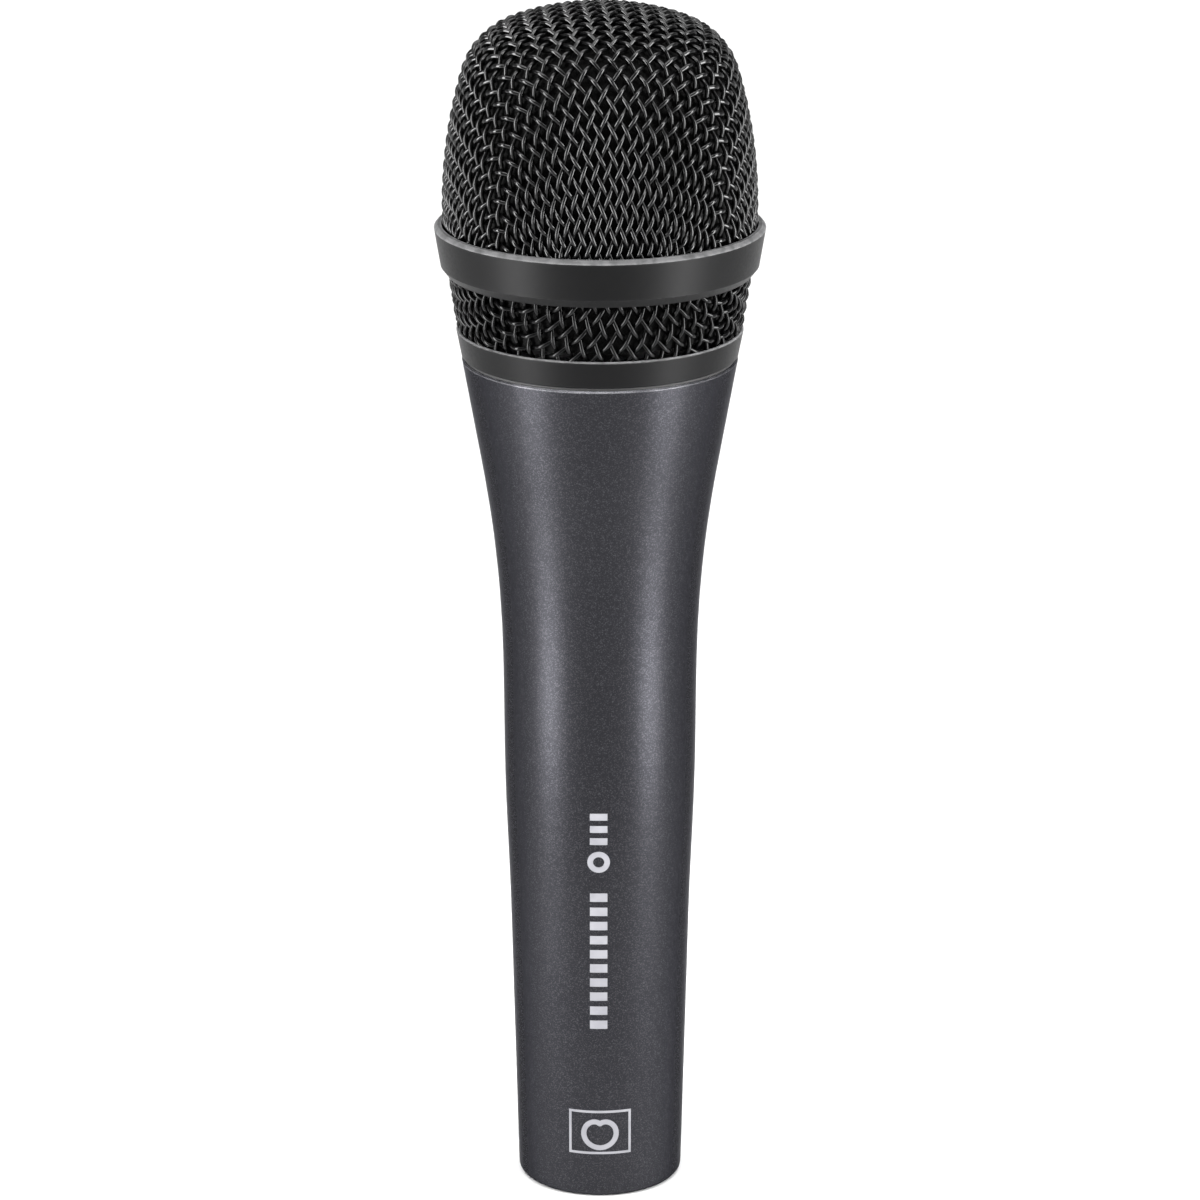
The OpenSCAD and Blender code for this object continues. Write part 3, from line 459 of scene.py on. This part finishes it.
low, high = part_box("front_cloth")
spin = np.linspace(0, 2 * math.pi, CLOTH_AROUND, endpoint=False)[:, None]
out = np.linspace(0, 1, CLOTH_ACROSS)[None, 1:]
cloth_z = high[2] - CLOTH_DROP
ripple = CLOTH_RIPPLE * np.sin(CLOTH_RIPPLES * spin) * out ** 2
upper = np.stack([high[0] * out * np.cos(spin), high[0] * out * np.sin(spin), cloth_z + ripple], -1)
both = np.concatenate([upper, upper[:, ::-1] - np.array([0, 0, CLOTH_THICK])], 1)
cloth_weave = finish("cloth_weave", tint=(0.10, 0.10, 0.10), deep=(0.06, 0.06, 0.06), rough=0.85, swing=0.08,
                     patch=700, grain=5000, depth=0.03 * MM, ribs=("X", 0.4 * MM, 0.06 * MM))
cloth = new_piece("cap_cloth", *capped(both, cloth_z, cloth_z - CLOTH_THICK), "capsule", "felt", cloth_weave)
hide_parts("front_cloth")


# Neck and collar: a black anodised tube with a rolled thread, pressed into the handle's mouth, and
# the head's collar that screws down on it, a turned ring in satin black paint.
black_anodised = finish("black_anodised", tint=(0.020, 0.020, 0.021), deep=(0.014, 0.014, 0.015), rough=0.36,
                        swing=0.06, patch=150, grain=2800, depth=0.004 * MM, wear_and_sheen=(0.20, 0.20, 0.21),
                        Metallic=0.6)
# Satin black: its light edge colour is rubbed paint and a painted highlight, kept to edges that look up,
# with half of it painted on faces that look up.
satin_black = finish("satin_black", tint=(0.0035, 0.0035, 0.0037), deep=(0.0025, 0.0025, 0.0027), rough=0.42,
                     swing=0.05, patch=70, grain=2400, depth=0.003 * MM, wear_and_sheen=(0.21, 0.21, 0.213),
                     edge=0.6 * MM, painted_top_highlight=True, Specular_IOR_Level=0.13)
dress(black_anodised, "threaded_neck")
dress(satin_black, "collar_ring", "grille_ring")


# Lower mesh: plain-weave wire cloth, drawn from a flat disc over a punch and cut open at its bottom,
# so the squares shear to diamonds between the wires' own directions. It is stove-enamelled black.
# The net's values: pitch of the wires, least diagonal of a cell, shares of the bending, crimping and
# twisting forces, and the number and size of the steps in which it comes to rest.
WIRE_R = 0.325 * MM
CLOTH_PITCH = 2.15 * MM
CLOTH_LOCK = 1.7 * MM
CLOTH_SPARE = 12 * MM
WIRE_BEND = 0.2
WIRE_CRIMP = 0.5
CELL_TWIST = 0.25
RELAX_STEPS = 2200
RELAX_STEP = 0.2
STEPS_A_PITCH = 6
WIRE_SIDES = 8
NET_EYE_Z = 150 * MM


def even_outline(points, count=4000):
    """The same outline with its points spread evenly along its length: distances, radii, heights."""
    run = np.concatenate([[0], np.cumsum(np.hypot(*np.diff(points, axis=0).T))])
    way = np.linspace(0, run[-1], count)
    return way, np.interp(way, run, points[:, 0]), np.interp(way, run, points[:, 1])


def drawn_cloth(outline, half, eye_z, up):
    """Crossings of a square wire cloth drawn over a turned form, from its pole outwards.

    It starts laid out from the pole with its distances kept. Then, step by step, every wire length
    between crossings is pulled back to the pitch, half as hard where it is short and only crimps
    more, every diagonal that is shorter than the lock is pushed apart, every wire resists bending and
    every cell resists twisting, and the points are put back on the form along rays from the point at
    height eye_z on the axis. Returns the points and which of them are on the cloth.
    """
    way, radius, height = even_outline(outline)
    tilt = np.arctan2(up * (height - eye_z), radius)
    order = np.argsort(tilt)
    tilts, reach = tilt[order], np.hypot(radius, height - eye_z)[order]

    def on_form(p):
        rho = np.maximum(np.hypot(p[..., 0], p[..., 1]), 1e-9)
        ray = np.arctan2(up * (p[..., 2] - eye_z), rho)
        length = np.interp(ray, tilts, reach)
        below = ray < tilts[0]
        scale = np.where(below, radius[-1], np.cos(ray) * length) / rho
        z = np.where(below, p[..., 2], eye_z + up * np.sin(ray) * length)
        return np.stack([p[..., 0] * scale, p[..., 1] * scale, z], -1)

    i = np.arange(-half, half + 1)
    across, along = np.meshgrid(i, i, indexing="ij")
    distance, angle = np.hypot(across, along) * CLOTH_PITCH, np.arctan2(along, across)
    r = np.interp(distance, way, radius)
    z = np.interp(distance, way, height) - up * np.maximum(distance - way[-1], 0)
    p = np.stack([r * np.cos(angle), r * np.sin(angle), z], -1)
    kept = distance < way[-1] + CLOTH_SPARE
    first, last, whole = slice(None, -1), slice(1, None), slice(None)
    links = [((first, whole), (last, whole), CLOTH_PITCH, False),
             ((whole, first), (whole, last), CLOTH_PITCH, False),
             ((first, first), (last, last), CLOTH_LOCK, True),
             ((first, last), (last, first), CLOTH_LOCK, True)]
    threes = [((slice(None, -2), whole), (slice(1, -1), whole), (slice(2, None), whole)),
              ((whole, slice(None, -2)), (whole, slice(1, -1)), (whole, slice(2, None)))]
    cells = (kept[last, last] & kept[first, first] & kept[last, first] & kept[first, last])[..., None]
    for _ in range(RELAX_STEPS):
        move = np.zeros_like(p)
        for a, b, rest, only_short in links:
            gap = p[b] - p[a]
            length = np.linalg.norm(gap, axis=-1, keepdims=True)
            pull = length - rest
            pull = np.minimum(pull, 0) if only_short else np.where(pull < 0, WIRE_CRIMP, 1) * pull
            pull = 0.5 * pull * gap / np.maximum(length, 1e-9) * (kept[a] & kept[b])[..., None]
            move[a] += pull
            move[b] -= pull
        for a, b, c in threes:
            bow = (p[a] + p[c] - 2 * p[b]) * (kept[a] & kept[b] & kept[c])[..., None] * WIRE_BEND
            move[b] += bow
            move[a] -= bow / 2
            move[c] -= bow / 2
        twist = (p[last, last] + p[first, first] - p[last, first] - p[first, last]) * cells * CELL_TWIST
        move[last, last] -= twist
        move[first, first] -= twist
        move[last, first] += twist
        move[first, last] += twist
        p = on_form(p + RELAX_STEP * move)
        p[half, half] = on_form(p[half, half] * np.array([0, 0, 1]))
    return p, kept


def smooth_between(rows, steps):
    """A Catmull-Rom cubic through the rows of an array, steps to a row."""
    padded = np.concatenate([2 * rows[:1] - rows[1:2], rows, 2 * rows[-1:] - rows[-2:-1]])
    t = (np.arange(steps) / steps).reshape((1, steps) + (1,) * (rows.ndim - 1))
    a, b, c, d = (padded[k:len(rows) - 1 + k, None] for k in range(4))
    curve = b + 0.5 * t * (c - a + t * (2 * a - 5 * b + 4 * c - d + t * (3 * (b - c) + d - a)))
    return np.concatenate([curve.reshape((-1,) + rows.shape[1:]), rows[-1:]])


def wires(points, kept, up, turn_by, low_z, high_z, phase):
    """One set of wires of a plain weave, from crossings whose rows run along the wires.

    Each centreline is a smooth cubic through its crossings, lifted off the form by the wire's radius
    times a cosine that changes sign from one crossing to the next. A ring of corners square to the
    wire follows it, and ends between low_z and high_z, closed flat. Also returns how far out of the
    cloth each corner looks, from 0 to 1, which is where the enamel rubs.
    """
    slope_a, slope_b = np.gradient(points, axis=0), np.gradient(points, axis=1)
    normal = up * phase * np.cross(slope_a, slope_b)
    normal /= np.maximum(np.linalg.norm(normal, axis=-1, keepdims=True), 1e-12)
    centre, normal = smooth_between(points, STEPS_A_PITCH), smooth_between(normal, STEPS_A_PITCH)
    on_cloth = smooth_between(kept.astype(float), STEPS_A_PITCH) > 0.99
    normal /= np.maximum(np.linalg.norm(normal, axis=-1, keepdims=True), 1e-12)
    count, lines = centre.shape[:2]
    step = np.arange(count)[:, None] / STEPS_A_PITCH + np.arange(lines)[None, :]
    lift = phase * np.cos(math.pi * step)
    centre = centre + (WIRE_R * lift)[..., None] * normal
    tangent = np.gradient(centre, axis=0)
    tangent /= np.maximum(np.linalg.norm(tangent, axis=-1, keepdims=True), 1e-12)
    normal -= tangent * (normal * tangent).sum(-1, keepdims=True)
    normal /= np.maximum(np.linalg.norm(normal, axis=-1, keepdims=True), 1e-12)
    side = np.cross(tangent, normal)
    corner = np.arange(WIRE_SIDES) * 2 * math.pi / WIRE_SIDES
    ring = centre[..., None, :] + WIRE_R * (np.cos(corner)[:, None] * normal[..., None, :]
                                            + np.sin(corner)[:, None] * side[..., None, :])
    rub = np.clip(lift, 0, 1)[..., None] * np.clip(np.cos(corner), 0, 1)
    live = on_cloth & (centre[..., 2] > low_z) & (centre[..., 2] < high_z)
    edge = np.zeros((1, lines), bool)
    before, after = np.concatenate([edge, live[:-1]]), np.concatenate([live[1:], edge])
    live &= before | after
    before, after = np.concatenate([edge, live[:-1]]), np.concatenate([live[1:], edge])
    number = np.arange(live.size * WIRE_SIDES).reshape(live.shape + (WIRE_SIDES,))
    here, there = number[:-1][live[:-1] & live[1:]], number[1:][live[:-1] & live[1:]]
    quads = np.stack([here, np.roll(here, -1, 1), np.roll(there, -1, 1), there], -1).reshape(-1, 4)
    ends = [number[live & ~before][:, ::-1], number[live & ~after]]
    used, quads_new = np.unique(quads, return_inverse=True)
    renumber = np.zeros(number.size, int)
    renumber[used] = np.arange(len(used))
    faces = quads_new.reshape(-1, 4).tolist() + [f for e in ends for f in renumber[e].tolist()]
    flat_points = ring.reshape(-1, 3)[used]
    c, s = math.cos(turn_by), math.sin(turn_by)
    flat_points = flat_points @ np.array([[c, s, 0], [-s, c, 0], [0, 0, 1]])
    return flat_points, faces, rub.reshape(-1)[used]


def enamelled_wire(name, bare, dark, rough, **sockets):
    """Stove enamel on steel wire: near black, glossier than the ring, thinner where the wire stands out."""
    made = finish(name, tint=dark, deep=tuple(0.7 * c for c in dark), rough=rough, swing=0.03, patch=350,
                  grain=3500, depth=0.003 * MM, **sockets)
    tree = made.node_tree
    shader = tree.nodes["Principled BSDF"]
    plain = shader.inputs["Base Color"].links[0].from_socket
    attribute = tree.nodes.new("ShaderNodeAttribute")
    attribute.attribute_name = "rub"
    share = tree.nodes.new("ShaderNodeMapRange")
    for socket, number in zip(share.inputs[1:5], (0.45, 1.0, 0.0, 0.75)):
        socket.default_value = number
    mix = tree.nodes.new("ShaderNodeMix")
    mix.data_type = "RGBA"
    tree.links.new(attribute.outputs["Fac"], share.inputs["Value"])
    tree.links.new(share.outputs["Result"], mix.inputs[0])
    tree.links.new(plain, mix.inputs[6])
    mix.inputs[7].default_value = (*bare, 1)
    tree.links.new(mix.outputs[2], shader.inputs["Base Color"])
    return made


def woven(name, points, kept, up, turn_by, low_z, high_z, node, enamel):
    """The two crossing sets of wires as two pieces that stand for the node."""
    for part, grid, held, phase in (("warp", points, kept, 1), ("weft", points.swapaxes(0, 1), kept.T, -1)):
        corners, faces, rub = wires(grid, held, up, turn_by, low_z, high_z, phase)
        piece = new_piece(name + "_" + part, corners, faces, "head", "wire", enamel)
        attribute = piece.data.attributes.new("rub", "FLOAT", "POINT")
        attribute.data.foreach_set("value", rub.astype(np.float32))
        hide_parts(node)


band_low, band_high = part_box("lower_mesh")
ring_low, ring_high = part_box("grille_ring")
BAND_SEAT_R = 19.65 * MM
BAND_TOP_R = band_high[0] - 2 * WIRE_R
BAND_FOOT_R = 20.33 * MM
BAND_FOOT_Z = band_low[2] + 1.95 * MM
BAND_HALF = 22
BAND_TURN = math.radians(-35)
CUP_CORNER = 2.5 * MM
t = np.radians(np.linspace(0, 90, 20))
cup = np.vstack([
    [[0, band_low[2] - CUP_CORNER]],
    np.stack([BAND_SEAT_R - CUP_CORNER + CUP_CORNER * np.sin(t), band_low[2] - CUP_CORNER * np.cos(t)], 1),
    [[BAND_FOOT_R, BAND_FOOT_Z], [BAND_TOP_R, ring_low[2]], [BAND_TOP_R, band_high[2]]]])
points, kept = drawn_cloth(cup, BAND_HALF, NET_EYE_Z, -1)
# The band's enamel is the dome's with half the reflection: a shaded copy, painted shade for the wires that
# face down.
band_enamel_shaded = enamelled_wire("band_enamel_shaded", (0.007, 0.007, 0.0074), (0.0018, 0.0018, 0.0019), rough=0.11,
                             Specular_IOR_Level=0.20)
woven("band_wires", points, kept, -1, BAND_TURN, band_low[2] + 0.2 * MM, band_high[2] - 0.1 * MM,
      "lower_mesh", band_enamel_shaded)


# Foam sleeve: a strip of open-cell black foam, cut from sheet and glued round the inside of the lower
# mesh. It keeps breath off the capsule, and its cut skin is open pores.
FOAM_PIT = 0.18 * MM
FOAM_AROUND = 300
SLEEVE_T = 1.85 * MM
SLEEVE_LEAN = 0.95 * MM
SLEEVE_SEED = 7


def along(outline, count):
    """Outline points spread evenly along it, as rows of [radius, height]."""
    return np.stack(even_outline(outline, count)[1:], 1)


open_foam = finish("open_foam", tint=(0.010, 0.010, 0.010), deep=(0.004, 0.004, 0.004), rough=0.95,
                   swing=0.04, patch=900, grain=1800, depth=0.25 * MM, Specular_IOR_Level=0.08)
low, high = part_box("foam_sleeve")
sleeve = np.array([[high[0] - SLEEVE_LEAN, low[2]], [high[0], high[2]], [high[0] - SLEEVE_T, high[2]],
                   [high[0] - SLEEVE_LEAN - SLEEVE_T, low[2]], [high[0] - SLEEVE_LEAN, low[2]]])
strip_skin = turned_skin(along(sleeve, 61)[:-1], FOAM_AROUND, FOAM_PIT, SLEEVE_SEED)
strip = new_piece("foam_strip", *strip_skin, "head", "foam", open_foam)
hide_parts("foam_sleeve")


# Dome: the same wire cloth deep-drawn from one flat disc over a rounded punch, its edge held in the
# ring's upper channel. Its outline is a long side arc, a tight shoulder and a flat crown.
dome_low, dome_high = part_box("dome_mesh")
DOME_R = dome_high[0]
SIDE_ARC_R = 70 * MM
SIDE_ARC_ANGLE = math.radians(16.6)
SIDE_ARC_Z = ring_high[2] + 2.5 * MM
SHOULDER_R = 10.7 * MM
DOME_HALF = 30
DOME_TURN = math.radians(-40)


def dome_outline(inset, foot_z):
    """Outline of the dome set in by inset, from the pole down to foot_z: the crown, shoulder and side
    arcs, each tangent to the next, with the angle where shoulder meets crown found by halving."""
    side = np.array([DOME_R - SIDE_ARC_R, SIDE_ARC_Z])
    ray = lambda angle: np.array([math.cos(angle), math.sin(angle)])
    shoulder = side + (SIDE_ARC_R - SHOULDER_R) * ray(SIDE_ARC_ANGLE)
    least, most = SIDE_ARC_ANGLE + 0.02, math.radians(88)
    for _ in range(50):
        middle = (least + most) / 2
        foot = shoulder + SHOULDER_R * ray(middle)
        crown_r = foot[0] / math.cos(middle)
        if foot[1] + crown_r * (1 - math.sin(middle)) > dome_high[2]:
            least = middle
        else:
            most = middle
    crown_r = shoulder[0] / math.cos(middle) + SHOULDER_R
    crown = np.array([0, dome_high[2] - crown_r])

    def arc(centre, radius, start, stop):
        angle = np.linspace(start, stop, 60)[:, None]
        return centre + (radius - inset) * np.hstack([np.cos(angle), np.sin(angle)])

    return np.vstack([arc(crown, crown_r, math.pi / 2, middle),
                      arc(shoulder, SHOULDER_R, middle, SIDE_ARC_ANGLE)[1:],
                      arc(side, SIDE_ARC_R, SIDE_ARC_ANGLE, 0)[1:], [[DOME_R - inset, foot_z]]])


points, kept = drawn_cloth(dome_outline(2 * WIRE_R, dome_low[2]), DOME_HALF, NET_EYE_Z, 1)
dome_enamel = enamelled_wire("dome_enamel", (0.008, 0.008, 0.0084), (0.0018, 0.0018, 0.0019), rough=0.10,
                             Specular_IOR_Level=0.40)
woven("dome_wires", points, kept, 1, DOME_TURN, dome_low[2] + 0.3 * MM, math.inf, "dome_mesh", dome_enamel)


# Foam lining: open-cell foam moulded to the inside of the dome, pushed in from below and standing on
# the ring's inner wall, with the same open pores as the sleeve.
LINER_INSET = 1.4 * MM
LINER_T = 2.55 * MM
LINER_SEED = 11
LINER_FLAT = 0.3 * MM
low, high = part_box("foam_liner")
outer = along(dome_outline(LINER_INSET, low[2]), 140)
inner = along(dome_outline(LINER_INSET + LINER_T, low[2]), 110)
shell = np.vstack([outer, inner[::-1]])[1:-1]
spin = np.linspace(0, 2 * math.pi, FOAM_AROUND, endpoint=False)
pits = FOAM_PIT * np.random.default_rng(LINER_SEED).random((FOAM_AROUND, len(shell)))
pits *= np.where(np.arange(len(shell)) < len(outer) - 1, -1, 1)
ray = shell - np.array([0, NET_EYE_Z])
ray /= np.linalg.norm(ray, axis=1)[:, None]
r = shell[None, :, 0] + pits * ray[None, :, 0]
z = shell[None, :, 1] + (shell[:, 1] > low[2] + LINER_FLAT) * pits * ray[None, :, 1]
grid = np.stack([r * np.cos(spin)[:, None], r * np.sin(spin)[:, None], z], -1)
lining = new_piece("foam_lining", *capped(grid, outer[0][1], inner[0][1]), "head", "foam", open_foam)
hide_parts("foam_liner")


# Studio: a wide pale floor, a tall soft strip on each side of the camera, a small light overhead, a
# broad one over the floor behind, an even ceiling, and a surround that is pale near the horizon. The
# camera looks a little down on the microphone.
FLOOR_HALF = 6.0
PITCH_DOWN = 17.748


def pale_floor():
    """A wide flat grid of faces at the height of the microphone's foot."""
    side = np.linspace(-FLOOR_HALF, FLOOR_HALF, 9)
    x, y = np.meshgrid(side, side)
    mesh = bpy.data.meshes.new("floor")
    mesh.from_pydata(np.stack([x, y, 0 * x], -1).reshape(-1, 3), [], grid_faces(9, 9).tolist())
    mesh.materials.append(finish("floor_paper", tint=(0.86, 0.86, 0.86), deep=(0.84, 0.84, 0.84), rough=0.8,
                                 swing=0.05, patch=3, grain=500, depth=0.02 * MM))
    floor = bpy.data.objects.new("floor", mesh)
    bpy.context.scene.collection.objects.link(floor)
    floor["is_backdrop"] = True


def soft_light(name, azimuth, distance, height, tall, wide, radiance, tilt, heading=0, spread=180):
    """A soft box of the given size and brightness, at an angle round the microphone from the camera's
    side. It is turned tilt degrees up from facing down, then heading degrees round, and throws its
    light over spread degrees."""
    lamp = bpy.data.lights.new(name, "AREA")
    lamp.shape = "RECTANGLE"
    lamp.size, lamp.size_y = wide, tall
    lamp.energy = radiance * math.pi * wide * tall
    lamp.spread = math.radians(spread)
    holder = bpy.data.objects.new(name, lamp)
    bpy.context.scene.collection.objects.link(holder)
    angle = math.radians(azimuth)
    holder.location = (distance * math.sin(angle), -distance * math.cos(angle), height)
    holder.rotation_euler = (math.radians(tilt), 0, math.radians(heading))


pale_floor()
soft_light("strip_0", -59, 0.22, 0.255, 0.50, 0.08, 7.8, tilt=90, heading=-59, spread=110)
soft_light("strip_2", 59, 0.22, 0.255, 0.50, 0.08, 7.8, tilt=90, heading=59, spread=110)
soft_light("overhead", 0, 0.27, 0.85, 0.20, 0.40, 9.5, tilt=21)
soft_light("over_backdrop", 180, 0.85, 1.3, 1.2, 1.8, 1.1, tilt=0, spread=120)
ceiling = bpy.data.lights.new("ceiling", "SUN")
ceiling.energy = 1.7
ceiling.angle = math.radians(80)
bpy.context.scene.collection.objects.link(bpy.data.objects.new("ceiling", ceiling))

surround = bpy.data.worlds.new("surround")
surround.use_nodes = True
sky = surround.node_tree.nodes
join = surround.node_tree.links.new
height = sky.new("ShaderNodeSeparateXYZ")
join(sky.new("ShaderNodeTexCoord").outputs["Generated"], height.inputs[0])
fall = sky.new("ShaderNodeMapRange")
for socket, number in zip(fall.inputs[1:5], (0.06, 0.35, 0.60, 0.14)):
    socket.default_value = number
join(height.outputs["Z"], fall.inputs["Value"])
join(fall.outputs["Result"], sky["Background"].inputs["Color"])
bpy.context.scene.world = surround
bpy.context.scene.view_settings.view_transform = "Standard"

lens = bpy.data.cameras.new("camera")
lens.sensor_width = 36
lens.lens = 147.6
lens.clip_start = 0.01
camera = bpy.data.objects.new("camera", lens)
bpy.context.scene.collection.objects.link(camera)
camera.location = (0, -0.6933, 0.3127)
camera.rotation_euler = (math.radians(90 - PITCH_DOWN), 0, 0)
bpy.context.scene.camera = camera

low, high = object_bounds()
